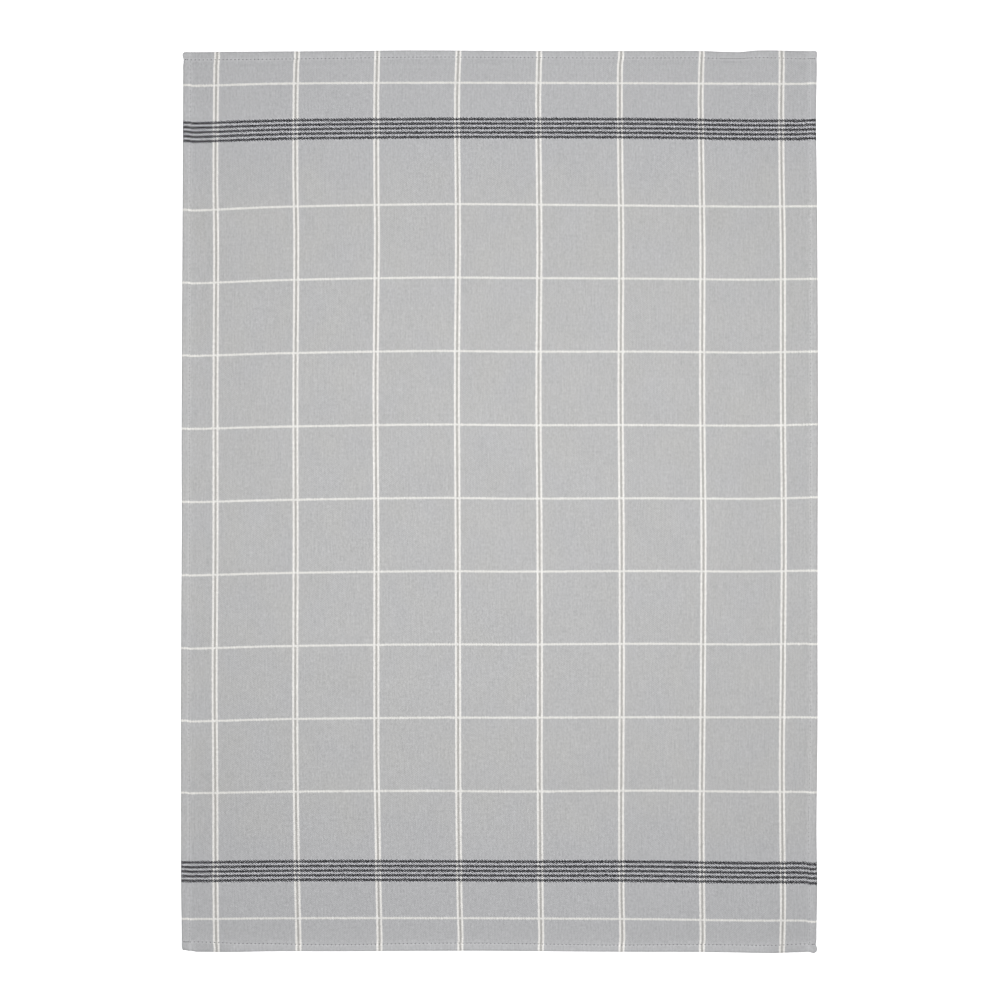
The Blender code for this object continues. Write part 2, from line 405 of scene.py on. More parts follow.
def heights(u, v):
    """Height of the face and of the underside at points of the even grid."""
    from_side = HALF_WIDTH - np.abs(u)
    from_end = HALF_LENGTH - np.abs(v)
    from_edge = np.minimum(from_side, from_end)
    stations = named_column(SECTION, SECTION_COLUMNS, "from_edge")
    top = curve_through(stations, named_column(SECTION, SECTION_COLUMNS, "top"), from_edge)
    under = curve_through(stations, named_column(SECTION, SECTION_COLUMNS, "underside"), from_edge)
    under = np.maximum(under, 0.0)
    into_fold = np.clip(FOLD_RADIUS - from_edge, 0.0, FOLD_RADIUS)
    half_height = np.sqrt(FOLD_RADIUS ** 2 - into_fold ** 2)
    folding = from_edge < FOLD_RADIUS
    top = np.where(folding, FOLD_RADIUS + half_height, top)
    under = np.where(folding, FOLD_RADIUS - half_height, under)
    top = top + CORNER_PILE * on_hem(from_side) * on_hem(from_end)
    lift = swell(u, v) * ease((from_edge - SWELL_STARTS) / (SWELL_FULL - SWELL_STARTS))
    nearer_side = from_side < from_end
    lift = lift + ripple(np.where(nearer_side, v, u)) * on_hem(from_edge)
    lift = lift + np.where(v > 0, PUCKER_LIFT * pucker(u, from_end), 0.0)
    return top + lift, under + lift


middle = np.array([0.0])
print("face and underside in the middle, mm:", heights(middle, middle))

# %% [markdown]
# ## The sheet
#
# The towel is one closed sheet: a grid for the face, the same grid for the underside, joined
# along the outer fold. Grid lines are close together across a hem, where the shape changes, and
# about 4 mm apart in the field. Each corner of a face also gets three UV maps. `weave` holds the
# cloth's own millimetres, and past the outer fold it simply runs on, so the check turns the edge
# as real cloth does. `even` holds the millimetres of the even grid, in which the sewing is 6 mm
# from every edge, so a finish can follow the hems. The last map lays face and underside side by
# side without overlap, which is what an export needs to bake the finish.

# %% Build the sheet
ACROSS_HEM = (0.0, 0.06, 0.2, 0.42, 0.75, 1.2, 2.0, 3.0, 4.2, 5.2, 5.6, 5.8, 6.0, 6.2, 6.4, 6.7,
              6.9, 7.0, 7.1, 7.2, 7.3, 7.45, 7.7, 8.2, 9.2, 10.5, 12.0, 13.5, 15.0, 17.5, 20.0)
FIELD_STEP = 4.2
LAID_OUT = {"face": (0.0, 0.62), "underside": (0.63, 0.37)}  # start and width in the map
FACE_FINISH, BACK_FINISH = 0, 1  # the sheet's two material slots


def grid_lines(half):
    """Places of the grid lines from one edge to the other."""
    inner = half - ACROSS_HEM[-1]
    spans = round(2 * inner / FIELD_STEP)
    field = [-inner + 2 * inner * i / spans for i in range(1, spans)]
    low = [distance - half for distance in ACROSS_HEM]
    return np.array(low + field + [-place for place in reversed(low)])


def past_the_fold(u, v, ring_u, ring_v):
    """Cloth millimetres on the underside of a hem, and whether this is such a place."""
    if HALF_LENGTH - abs(ring_v) < HEM_WIDTH:
        return u, math.copysign(LENGTH, ring_v) - v, True
    if HALF_WIDTH - abs(ring_u) < HEM_WIDTH:
        return math.copysign(WIDTH, ring_u) - u, v, True
    return u, v, False


def smooth_mesh(name, places, faces):
    """A mesh that is shaded smooth."""
    mesh = bpy.data.meshes.new(name)
    mesh.from_pydata(places, [], faces)
    mesh.shade_smooth()
    return mesh


def towel_mesh():
    """The closed sheet, with its three UV maps and its two material slots."""
    across, up = grid_lines(HALF_WIDTH), grid_lines(HALF_LENGTH)
    columns, rows = len(across), len(up)
    grid_u, grid_v = (grid.ravel() for grid in np.meshgrid(across, up))
    cloth_u, cloth_v = on_cloth(grid_u, grid_v)
    x, y = lie(cloth_u, cloth_v)
    top, under = heights(grid_u, grid_v)

    places = [tuple(place) for place in np.stack([x, y, top], axis=1) * MM]
    below = {}
    for j in range(rows):
        for i in range(columns):
            here = j * columns + i
            if i in (0, columns - 1) or j in (0, rows - 1):
                below[here] = here
            else:
                below[here] = len(places)
                places.append((x[here] * MM, y[here] * MM, under[here] * MM))

    faces, weave, even, laid_out, slots = [], [], [], [], []
    for j in range(rows - 1):
        for i in range(columns - 1):
            start = j * columns + i
            ring = [start, start + 1, start + 1 + columns, start + columns]
            middle_u, middle_v = (across[i] + across[i + 1]) / 2, (up[j] + up[j + 1]) / 2
            for name in ("face", "underside"):
                corners = ring if name == "face" else ring[::-1]
                faces.append(corners if name == "face" else [below[k] for k in corners])
                first, width = LAID_OUT[name]
                turned = False
                for k in corners:
                    u, v = cloth_u[k], cloth_v[k]
                    if name == "underside":
                        u, v, turned = past_the_fold(u, v, middle_u, middle_v)
                    weave.append((u, v))
                    even.append((grid_u[k], grid_v[k]))
                    laid_out.append((first + width * (cloth_u[k] / WIDTH + 0.5),
                                     cloth_v[k] / LENGTH + 0.5))
                back = name == "underside" and not turned
                slots.append(BACK_FINISH if back else FACE_FINISH)

    mesh = smooth_mesh("towel_cloth", places, faces)
    for name, values in (("weave", weave), ("even", even), ("OFBake", laid_out)):
        layer = mesh.uv_layers.new(name=name)
        layer.data.foreach_set("uv", np.array(values, dtype=np.float32).ravel())
    mesh.polygons.foreach_set("material_index", slots)
    mesh.update()
    return mesh


def footprint_middle(mesh):
    """Middle of the sheet's outer sizes, in metres."""
    places = np.array([vertex.co[:2] for vertex in mesh.vertices])
    return (places.min(axis=0) + places.max(axis=0)) / 2


def show(name, data):
    """Put a mesh, a lamp or a camera in the scene as an object of that name."""
    piece = bpy.data.objects.new(name, data)
    bpy.context.scene.collection.objects.link(piece)
    return piece


cloth_mesh = towel_mesh()
MIDDLE = footprint_middle(cloth_mesh)
for vertex in cloth_mesh.vertices:
    vertex.co.x -= MIDDLE[0]
    vertex.co.y -= MIDDLE[1]
towel = show("towel_cloth", cloth_mesh)
print("faces in the sheet:", len(cloth_mesh.polygons), "moved to the middle, m:", MIDDLE)

# %% [markdown]
# ## The sewing
#
# A hem is held by a lockstitch: one thread on the face and one on the underside, which link
# inside the cloth at every needle hole. From above, each stitch shows as a short dash in a
# groove, and the cloth closes over the thread between two dashes. The dashes could be painted,
# but thread stands up and catches light, so both threads are modelled as thin tubes that
# dive into the cloth at each hole. Where a line starts or ends, the machine sews over its own
# stitches, and there the dashes fill each other's gaps.

# %% Build the thread
STITCH = 3.13  # from needle hole to needle hole
STITCH_SHOWN = 1.15
STITCH_SLANT = 0.3  # how far a dash leans to each side of its line
SIDE_STITCHES_SINK = 0.28  # between the warp threads of the side hems the stitches bed in
THREAD_RADIUS = 0.31
THREAD_SIDES = 6
THREAD_PROUD = 0.75  # parts of its radius that the middle of a dash stands off the cloth
THREAD_DEPTH = 0.55  # how far it dives at a needle hole
DASH_HOLDS, DASH_ENDS = 0.7, 1.4  # parts of half a dash: where it starts to dive, and is gone
STITCH_STATIONS = (0.0, 0.14, 0.26, 0.5, 0.74, 0.86)  # parts of a stitch where the tube bends
SEWING_STARTS = 2.0  # from the edges of the cloth
OVERSEWN_SHIFT = 0.12

# Where a line was sewn over: from the middle of that stitch of the line, for so many stitches.
OVERSEWN_COLUMNS = ("line", "first_stitch", "stitches", "sink")
OVERSEWN = (
    ("top", -1, 1, 0.0),
    ("top", 134, 8, 0.14),
    ("top", 156, 2, 0.0),
    ("bottom", -1, 2, 0.0),
    ("bottom", 157, 1, 0.0),
)


def sewing_paths():
    """Grid places of each line of sewing: name, start and end on the even grid."""
    inner_u, inner_v = HALF_WIDTH - STITCH_FROM_EDGE, HALF_LENGTH - STITCH_FROM_EDGE
    outer_u = HALF_WIDTH - SEWING_STARTS
    return {
        "top": ((-outer_u, inner_v), (outer_u, inner_v)),
        "bottom": ((-outer_u, -inner_v), (outer_u, -inner_v)),
        "left": ((-inner_u, -inner_v), (-inner_u, inner_v)),
        "right": ((inner_u, -inner_v), (inner_u, inner_v)),
    }


def stitch_stations(length):
    """Distances along a line of sewing, how much thread shows at each, and how far it leans."""
    stitches = round(length / STITCH)
    pitch = length / stitches
    shown_part = STITCH_SHOWN / STITCH
    along, shown, lean = [], [], []
    for stitch in range(stitches):
        for part in STITCH_STATIONS:
            along.append((stitch + part) * pitch)
            from_middle = abs(part - 0.5) / (shown_part / 2)
            shown.append(float(fade(from_middle, DASH_HOLDS, DASH_ENDS)))
            lean.append((2 * part - 1) * STITCH_SLANT)
    return np.array(along + [length]), np.array(shown + [0.0]), np.array(lean + [0.0])


def thread_line(start, end, side, shift=0.0, sink=0.0):
    """Places of one thread, in metres: side is 1 on the face and -1 on the underside."""
    start, end = np.array(start), np.array(end)
    length = float(np.hypot(*(end - start)))
    along, shown, lean = stitch_stations(length)
    direction = (end - start) / length
    grid_u = start[0] + along * direction[0]
    grid_v = start[1] + along * direction[1]
    x, y = lie(*on_cloth(grid_u, grid_v))
    top, under = heights(grid_u, grid_v)
    surface = top if side > 0 else under
    proud = THREAD_RADIUS * THREAD_PROUD * shown - THREAD_DEPTH * (1 - shown)
    z = surface + side * (proud - sink)
    if side < 0:
        z = np.maximum(z, THREAD_RADIUS)  # the table presses the lower thread into its groove
    x, y = x - (shift + lean) * direction[1], y + (shift + lean) * direction[0]
    return np.stack([x * MM - MIDDLE[0], y * MM - MIDDLE[1], z * MM], axis=1)


def ring_faces(rings, sides):
    """Faces between closed rings of vertices that follow one another."""
    faces = []
    for ring in range(rings - 1):
        low, high = ring * sides, (ring + 1) * sides
        for k in range(sides):
            after = (k + 1) % sides
            faces.append((low + k, high + k, high + after, low + after))
    return faces


def tube(line, radius):
    """Vertices and faces of a closed tube along a line of places."""
    ahead = np.gradient(line, axis=0)
    ahead /= np.linalg.norm(ahead, axis=1)[:, None]
    side = np.cross(ahead, (0.0, 0.0, 1.0))
    side /= np.linalg.norm(side, axis=1)[:, None]
    up = np.cross(side, ahead)
    angles = [2 * math.pi * k / THREAD_SIDES for k in range(THREAD_SIDES)]
    rings = np.stack([line + radius * (math.cos(a) * side + math.sin(a) * up) for a in angles],
                     axis=1)
    last_ring = (len(line) - 1) * THREAD_SIDES
    start_cap = tuple(range(THREAD_SIDES))
    end_cap = tuple(last_ring + k for k in reversed(start_cap))
    faces = ring_faces(len(line), THREAD_SIDES) + [start_cap, end_cap]
    return rings.reshape(-1, 3), faces


def thread_mesh(name, lines):
    """One mesh with a tube along each line."""
    vertices, faces = [], []
    for line in lines:
        points, quads = tube(line, THREAD_RADIUS * MM)
        faces += [tuple(k + len(vertices) for k in face) for face in quads]
        vertices += [tuple(point) for point in points]
    return smooth_mesh(name, vertices, faces)


def oversewn_lines():
    """Short lines that fill the gaps between stitches where the sewing was sewn over."""
    lines = []
    for again in named_rows(OVERSEWN, OVERSEWN_COLUMNS):
        (start_u, line_v), (end_u, _) = sewing_paths()[again["line"]]
        pitch = (end_u - start_u) / round((end_u - start_u) / STITCH)
        from_u = start_u + (again["first_stitch"] + 0.5) * pitch
        ends = ((from_u, line_v), (from_u + again["stitches"] * pitch, line_v))
        lines.append(thread_line(*ends, 1, OVERSEWN_SHIFT, again["sink"]))
    return lines


def sewing_lines(side):
    """The four lines of sewing: side is 1 on the face and -1 on the underside."""
    lines = []
    for name, ends in sewing_paths().items():
        sink = SIDE_STITCHES_SINK if side > 0 and name in SIDES else 0.0
        lines.append(thread_line(*ends, side, sink=sink))
    return lines


top_thread = sewing_lines(1) + oversewn_lines()
bottom_thread = sewing_lines(-1)
face_sewing = show("face_sewing", thread_mesh("face_sewing", top_thread))
back_sewing = show("back_sewing", thread_mesh("back_sewing", bottom_thread))
print("faces in the two threads:", len(face_sewing.data.polygons), len(back_sewing.data.polygons))

# %% [markdown]
# ## Writing a finish as sums
#
# A material is a graph of nodes, and a graph with forty Math nodes is hard to read. Python can
# write it instead: `Wire` wraps the output of a node and knows what +, -, * and / mean, so that
# `1 - mask * 0.5` adds the Math nodes by itself. `Finish` holds one material, and its method
# `add` makes any other node from its type, its settings, and the values or wires of its sockets.

# %% Wire and Finish
class Wire:
    """An output of a node, on which sums can be written."""

    def __init__(self, finish, socket):
        self.finish, self.socket = finish, socket

    def maths(self, operation, *values):
        """A Math node on these values."""
        return self.finish.add("ShaderNodeMath", {"operation": operation}, dict(enumerate(values)))

    def __add__(self, other):
        return self.maths("ADD", self, other)

    def __sub__(self, other):
        return self.maths("SUBTRACT", self, other)

    def __rsub__(self, other):
        return self.maths("SUBTRACT", other, self)

    def __mul__(self, other):
        return self.maths("MULTIPLY", self, other)

    def __truediv__(self, other):
        return self.maths("DIVIDE", self, other)

    __radd__ = __add__
    __rmul__ = __mul__

    def fraction(self):
        return self.maths("FRACT", self)

    def size(self):
        return self.maths("ABSOLUTE", self)

    def sine(self):
        return self.maths("SINE", self)

    def smaller(self, other):
        return self.maths("MINIMUM", self, other)

    def larger(self, other):
        return self.maths("MAXIMUM", self, other)

    def over(self, limit):
        return self.maths("GREATER_THAN", self, limit)


class Finish:
    """One material, with a Principled shader that its wires lead to."""

    def __init__(self, name):
        self.material = bpy.data.materials.new(name)
        self.material.use_nodes = True
        self.nodes = self.material.node_tree.nodes
        self.links = self.material.node_tree.links
        self.shader = self.nodes["Principled BSDF"]

    def add(self, kind, settings=None, sockets=None, output=0):
        """A node of that kind: its settings first, then its sockets; gives one output."""
        node = self.nodes.new(kind)
        for name, value in (settings or {}).items():
            setattr(node, name, value)
        for name, value in (sockets or {}).items():
            self.put(node.inputs[name], value)
        return Wire(self, node.outputs[output])

    def put(self, socket, value):
        """Set a socket to a value, or link a wire to it."""
        if isinstance(value, Wire):
            self.links.new(value.socket, socket)
        else:
            socket.default_value = value

    def surface(self, **sockets):
        """Sockets of the Principled shader, with underscores for the spaces in their names."""
        for name, value in sockets.items():
            self.put(self.shader.inputs[name.replace("_", " ").title()], value)

    def axis(self, vector, index):
        """One number of a vector: 0 for the first."""
        return self.add("ShaderNodeSeparateXYZ", None, {0: vector}, index)

    def step(self, value, low, high):
        """0 below low, 1 above high, smooth between."""
        return self.add("ShaderNodeMapRange", {"interpolation_type": "SMOOTHSTEP"},
                        {"Value": value, "From Min": low, "From Max": high})

    def past(self, value, place, soft):
        """0 before a place and 1 past it, smooth over soft to each side."""
        return self.step(value, place - soft, place + soft)

    def tint(self, mask, under, over):
        """The colour over where mask is 1, and under where it is 0."""
        return self.add("ShaderNodeMix", {"data_type": "RGBA"},
                        {"Factor": mask, 6: under, 7: over}, 2)

    def stained(self, colour, factor):
        """A colour made lighter or darker by a factor."""
        colour = colour if isinstance(colour, Wire) else colour[:3]
        return self.add("ShaderNodeVectorMath", {"operation": "SCALE"},
                        {0: colour, "Scale": factor})

    def grain(self, u, v, across, along, detail=0.0, seed=0.0):
        """Noise from 0 to 1 whose grains are that many millimetres across and along."""
        place = self.add("ShaderNodeCombineXYZ", None, {0: u / across, 1: v / along, 2: seed})
        return self.add("ShaderNodeTexNoise", None,
                        {"Vector": place, "Scale": 1.0, "Detail": detail, "Roughness": 0.5})


print("sums can now be written on sockets")

# %% [markdown]
# ## The check
#
# A twill floats its threads over each other in diagonal steps, so no edge of a stripe is a
# clean line. Each line starts here as a distance in cloth millimetres, gets the saw teeth of
# the twill added, and becomes a soft mask. Where charcoal picks cross white ends they hide
# most of them.

# %% The check, as masks in cloth millimetres
WALE_ACROSS, WALE_UP = 2.08, 1.58  # one diagonal step of the twill: four ends, four picks
END_PITCH, PICK_PITCH = WALE_ACROSS / 4, WALE_UP / 4
WARP_PAIR = 1.60  # from the middle of a double line to each of its threads
WARP_LINE_HALF = 0.78
WEFT_PITCH, WEFT_START = 57.4, 2.4
WEFT_LINE_HALF = 0.82
FIELD_LINES_END = 258.0  # no field line is further from the middle than this
END_LINES = (327.2, -325.9)
BAND_COLUMNS = ("middle", "pitch", "stripe_half")
BANDS = ((291.9, 3.47, 1.06), (-288.8, 3.57, 1.17))
STRIPES = 5
PINCHED = 0.18  # white ends squeeze a stripe thinner, on each side
SOFT_EDGE = 0.22
TOOTH = 0.66  # how far a stripe's edge steps in and out
LEAST_TOOTH = 0.6  # part of it that every tooth has; the rest is uneven
RAGGED = 3.0  # loose fibres blur the teeth
LINE_TOOTH = 0.4  # a white weft line has that part of a stripe's teeth
WARP_TOOTH = 0.16
BAND_EDGE = 0.8  # the light picks run on past the outer stripes
SPECK_HALF = 0.34  # half width of the diagonal steps inside a stripe
SPECKS_START, SPECKS_FULL = 0.30, 0.55  # they show where the yarn is this ragged


def repeated(value, pitch):
    """Signed distance from the nearest of a row of places that pitch is between."""
    return ((value / pitch + 0.5).fraction() - 0.5) * pitch


def line_mask(finish, distance, half):
    """1 within half of a line, 0 outside, with a soft edge."""
    return 1 - finish.past(distance, half, SOFT_EDGE)


def woven_check(finish, u, v):
    """Masks of the check at a place on the cloth, by name."""
    wale = (u / WALE_ACROSS + v / WALE_UP).fraction()
    off_wale = (wale - 0.5).size()
    uneven = finish.grain(u, v, 3.1, 1.9, seed=4.0)
    ragged = finish.grain(u, v, 1.1, 0.9, seed=8.0)
    warp_ragged = finish.grain(u, v, 0.9, 1.7, seed=9.0)
    swing = 1 - off_wale * 4  # from 1 to -1 and back in each diagonal step
    weft_tooth = (swing * (uneven + LEAST_TOOTH) + (ragged - 0.5) * RAGGED) * TOOTH
    warp_tooth = (swing + (warp_ragged - 0.5) * RAGGED) * WARP_TOOTH

    from_double = repeated(u + WARP_PITCH / 2, WARP_PITCH).size()
    warp = line_mask(finish, (from_double - WARP_PAIR).size() + warp_tooth, WARP_LINE_HALF)

    beyond = (v - WEFT_START).size().over(FIELD_LINES_END)
    from_line = repeated(v - WEFT_START, WEFT_PITCH).size() + beyond * WEFT_PITCH
    for place in END_LINES:
        from_line = from_line.smaller((v - place).size())
    weft = line_mask(finish, from_line + weft_tooth * LINE_TOOTH, WEFT_LINE_HALF)
    # Between the two raised white threads of a double line, where their shade falls; the colour
    # paints that shade.
    between = line_mask(finish, from_double, WARP_PAIR) * (1 - weft)

    dark, gaps = 0.0, 0.0
    for band in named_rows(BANDS, BAND_COLUMNS):
        pitch, from_middle = band["pitch"], v - band["middle"]
        half_band = STRIPES * pitch / 2
        in_band = 1 - from_middle.size().over(half_band)
        from_stripe = repeated(from_middle, pitch).size() + warp * PINCHED
        dark = line_mask(finish, from_stripe + weft_tooth, band["stripe_half"]) * in_band + dark
        out = finish.step(from_middle.size(), half_band - pitch / 2, half_band + BAND_EDGE)
        gaps = 1 - out + gaps
    gaps = gaps * (1 - dark)
    specks = line_mask(finish, off_wale * WALE_ACROSS, SPECK_HALF)
    specks = specks * finish.step(ragged, SPECKS_START, SPECKS_FULL)
    return {"warp": warp, "between": between, "weft": weft, "dark": dark,
            "gaps": gaps, "specks": specks, "wale": wale}


print("ends and picks stand apart, mm:", END_PITCH, PICK_PITCH)

# %% [markdown]
# ## The cotton
#
# Cotton cloth is never one flat colour. Slub yarns give long soft streaks, loose fibres give a
# fine grain, and wide patches lean to a warmer or a cooler grey. Each kind of unevenness is one
# noise with a grain size of its own, and a table holds them, so that one loop can add them up.
# The relief is only tenths of a millimetre: round yarns, diagonal wales and raised white lines.

# %% Colours and relief of the cotton
COOL_GREY = (0.468, 0.470, 0.480, 1.0)
WARM_GREY = (0.480, 0.478, 0.471, 1.0)
WHITE = (0.762, 0.753, 0.723, 1.0)
WARP_WHITE = (0.83, 0.815, 0.79, 1.0)
CHARCOAL = (0.025, 0.025, 0.029, 1.0)
SPECK = (0.21, 0.21, 0.22, 1.0)
GAP_GREY = (0.78, 0.78, 0.82, 1.0)
# Painted shade: between the two raised threads of a double line the grey is darker and warmer, as
# their shadow falls there.
PAINTED_SHADE_BETWEEN_GREY = (0.44, 0.425, 0.40, 1.0)  # between the two threads of a double line

# How far the grey turns from cool to warm: patches, and cooler again towards both ends.
PATCH_LEAST, PATCH_RANGE, PATCH_SOFT = 0.3, 0.4, 0.3
PATCH_WIDE, PATCH_LONG = 22.0, 30.0
COOL_ENDS, COOL_FROM, COOL_TO = 0.5, 230.0, 330.0

# How fully each colour covers the grey.
PAINTED_SHADE_BETWEEN_COVER, GAP_COVER = 0.8, 0.75
DARK_OVER_WARP = 0.90
WHITER_GAPS = 0.2  # where white ends and light picks cross, both are white
BACK_CONTRAST = 0.9

# Kinds of unevenness: how many millimetres across and along, and how much each shades.
GRAIN_COLUMNS = ("name", "across", "along", "detail", "seed", "shades")
GRAINS = (
    ("fibres", 1.35, 2.2, 1.0, 3.0, 0.36),
    ("strands", 1.0, 7.0, 0.0, 7.0, 0.16),
    ("streaks", 1.3, 26.0, 0.0, 1.0, 0.10),
    ("slubs", 9.0, 1.2, 0.0, 2.0, 0.06),
    ("mottle", 30.0, 40.0, 0.0, 5.0, 0.04),
)

# Heights of the relief, in millimetres.
WALE_RELIEF, END_RELIEF, FIBRE_RELIEF = 0.05, 0.02, 0.07
WARP_LINE_RELIEF, WEFT_LINE_RELIEF = 0.10, 0.05
COARSER_STRIPES = 3.6  # the stripes' thicker yarn makes deeper wales
COTTON_ROUGHNESS, COTTON_GLOSS = 0.92, 0.25

print("kinds of unevenness:", named_column(GRAINS, GRAIN_COLUMNS, "name"))

# %% [markdown]
# ## The light on the hems
#
# A camera sees a hem as a little lighter than the field, with a bright shoulder on both sides of
# the sewing, a dark outer fold and a shaded slope inside it. Most of that comes from the shape,
# but soft light from all round nearly hides it, and the pucker's crease is finer than the mesh.
# So the finish helps the shape, in the millimetres of the even grid: each change of light has a
# place, and a softness to each side of it.

# %% The hems' light, as sums in grid millimetres
LEFT_HEM_LIGHT, RIGHT_HEM_LIGHT = 0.04, 0.045
TOP_HEM_LIGHT, BOTTOM_HEM_LIGHT = 0.02, 0.11
CORNER_LIGHT = 0.05  # where the side hems lie on the top one
SHOULDER_LIGHT = 0.07  # the cloth swells on both sides of the sewing
FOLD_SHADE = 0.09
SLOPE_SHADE, TOP_SLOPE_SHADE = 0.018, 0.045  # inside a hem the cloth slopes to the table
DULL_HEM, DULL_AT_TOP = 0.08, 0.3  # near the corners the end hems are duller, the top less
CREASE_SHADE, CREASE_FROM_TOP = 0.06, 8.8  # under the pucker the hem creases the field

LIGHT_COLUMNS = ("place", "soft")
LIGHT_CHANGES = {
    "hem": (6.1, 0.5),  # in from the edge
    "fold": (1.1, 0.5),
    "slope_starts": (7.2, 0.6),
    "slope_ends": (11.5, 1.5),
    "top_slope": (11.5, 2.5),
    "shoulder": (1.2, 0.5),  # from the line of sewing
    "crease": (0.6, 0.4),  # from the middle of the crease
    "crease_starts": (170.0, 4.0),  # to the right of the towel's middle
    "crease_ends": (196.0, 3.0),
    "dull_starts": (212.0, 4.0),  # to both sides of it
    "dull_ends": (239.0, 3.0),
}


def hem_light(finish):
    """How much lighter or darker the hems are than the field."""
    def past(distance, name):
        return finish.past(distance, **dict(zip(LIGHT_COLUMNS, LIGHT_CHANGES[name])))

    even = finish.add("ShaderNodeUVMap", {"uv_map": "even"})
    to_right, up = finish.axis(even, 0), finish.axis(even, 1)
    across = to_right.size()
    from_side = HALF_WIDTH - across
    from_top, from_bottom = HALF_LENGTH - up, HALF_LENGTH + up
    from_end = from_top.smaller(from_bottom)
    from_edge = from_side.smaller(from_end)
    from_end_sewing = (from_end - STITCH_FROM_EDGE).size()
    from_sewing = (from_side - STITCH_FROM_EDGE).size().smaller(from_end_sewing)

    side, top, bottom = (1 - past(place, "hem") for place in (from_side, from_top, from_bottom))
    side_light = LEFT_HEM_LIGHT + to_right.over(0.0) * (RIGHT_HEM_LIGHT - LEFT_HEM_LIGHT)
    light = (side * side_light).larger(bottom * BOTTOM_HEM_LIGHT)
    light = light + top * (TOP_HEM_LIGHT + side * CORNER_LIGHT)
    light = light + (1 - past(from_sewing, "shoulder")) * SHOULDER_LIGHT
    light = light - (1 - past(from_edge, "fold")) * FOLD_SHADE

    slope = past(from_edge, "slope_starts") * (1 - past(from_edge, "slope_ends"))
    near_top = 1 - past(from_top, "top_slope")
    light = light - slope * (SLOPE_SHADE + near_top * (TOP_SLOPE_SHADE - SLOPE_SHADE))

    crease = 1 - past((from_top - CREASE_FROM_TOP).size(), "crease")
    crease = crease * past(to_right, "crease_starts") * (1 - past(to_right, "crease_ends"))
    dull = past(across, "dull_starts") - past(across, "dull_ends")
    return light - crease * CREASE_SHADE - dull * (top * DULL_AT_TOP + bottom) * DULL_HEM


print("changes of light on a hem:", len(LIGHT_CHANGES))

# %% [markdown]
# ## The cloth's finish
#
# Now the masks, the colours and the unevenness meet in one material. Colours are laid over each
# other in the order in which the threads cover each other, the unevenness then shades the
# result, and a Bump node turns the relief into light and shade. The underside of the field shows
# the same threads with less contrast, so one function makes both finishes.

# %% The cloth's finish
def cloth_colour(finish, u, v, check, contrast):
    """The colour of the threads, with painted shade between the two threads of each double line,
    before their unevenness.
    """
    patches = finish.grain(u, v, PATCH_WIDE, PATCH_LONG, seed=6.0)
    tone = PATCH_LEAST + patches * PATCH_RANGE
    tone = tone - finish.step(v.size(), COOL_FROM, COOL_TO) * COOL_ENDS
    colour = finish.tint(finish.past(tone, 0.5, PATCH_SOFT), COOL_GREY, WARM_GREY)
    colour = finish.tint(check["weft"], colour, WHITE)
    # Painted shade between the two raised threads of each double line.
    colour = finish.tint(check["between"] * PAINTED_SHADE_BETWEEN_COVER, colour, PAINTED_SHADE_BETWEEN_GREY)
    colour = finish.tint(check["gaps"] * GAP_COVER, colour, GAP_GREY)
    colour = finish.tint(check["warp"], colour, WARP_WHITE)
    charcoal = finish.tint(check["specks"], CHARCOAL, SPECK)
    hides = check["dark"] * (1 - check["warp"] * (1 - DARK_OVER_WARP)) * contrast
    return finish.tint(hides, colour, charcoal)


def cloth_finish(name, contrast):
    """Cotton twill; contrast is 1 on the face and less on the back of the weave."""
    finish = Finish(name)
    weave = finish.add("ShaderNodeUVMap", {"uv_map": "weave"})
    u, v = finish.axis(weave, 0), finish.axis(weave, 1)
    check = woven_check(finish, u, v)

    shade, uneven = 1.0, {}
    for row in named_rows(GRAINS, GRAIN_COLUMNS):
        grain = finish.grain(u, v, row["across"], row["along"], row["detail"], row["seed"])
        uneven[row["name"]] = grain - 0.5
        shade = shade + uneven[row["name"]] * row["shades"]
    shade = shade + hem_light(finish) + check["warp"] * check["gaps"] * WHITER_GAPS
    colour = finish.stained(cloth_colour(finish, u, v, check, contrast), shade)

    coarser = 1 + (check["dark"] + check["gaps"]) * COARSER_STRIPES
    relief = (check["wale"] * (2 * math.pi)).sine() * coarser * WALE_RELIEF
    relief = relief + (u * (2 * math.pi / END_PITCH)).sine() * END_RELIEF
    relief = relief + uneven["fibres"] * FIBRE_RELIEF
    relief = relief + check["warp"] * WARP_LINE_RELIEF + check["weft"] * WEFT_LINE_RELIEF
    bump = finish.add("ShaderNodeBump", None,
                      {"Strength": 1.0, "Distance": MM, "Height": relief})
    finish.surface(base_color=colour, roughness=COTTON_ROUGHNESS, normal=bump)
    finish.shader.inputs["Specular IOR Level"].default_value = COTTON_GLOSS
    return finish.material


cloth_mesh.materials.append(cloth_finish("cotton_twill_face", 1.0))
cloth_mesh.materials.append(cloth_finish("cotton_twill_back", BACK_CONTRAST))
print("materials on the sheet:", [material.name for material in cloth_mesh.materials])

# %% [markdown]
# ## The thread's finish
#
# Sewing thread is two fine strands twisted together, mid grey to match the cloth. Here its grey is
# painted much darker, so that its short dashes also stand in for the shade in the needle holes
# between them. At this size the twist reads as a fine slanted bump and a slight change of grey
# from stitch to stitch.

# %% Thread
# Painted shade: far darker than the thread's own grey, so that the dashes also show the shade of
# the needle holes.
THREAD_GREY_WITH_HOLE_SHADE = (0.12, 0.12, 0.125, 1.0)
THREAD_TWIST = 0.55  # millimetres from one twist to the next
TWIST_SHADE, TWIST_RELIEF, TWIST_BUMP = 0.06, 0.04, 0.6
FUZZ_SIZE, FUZZ_SHADE = 1.4, 0.4
THREAD_ROUGHNESS = 0.8


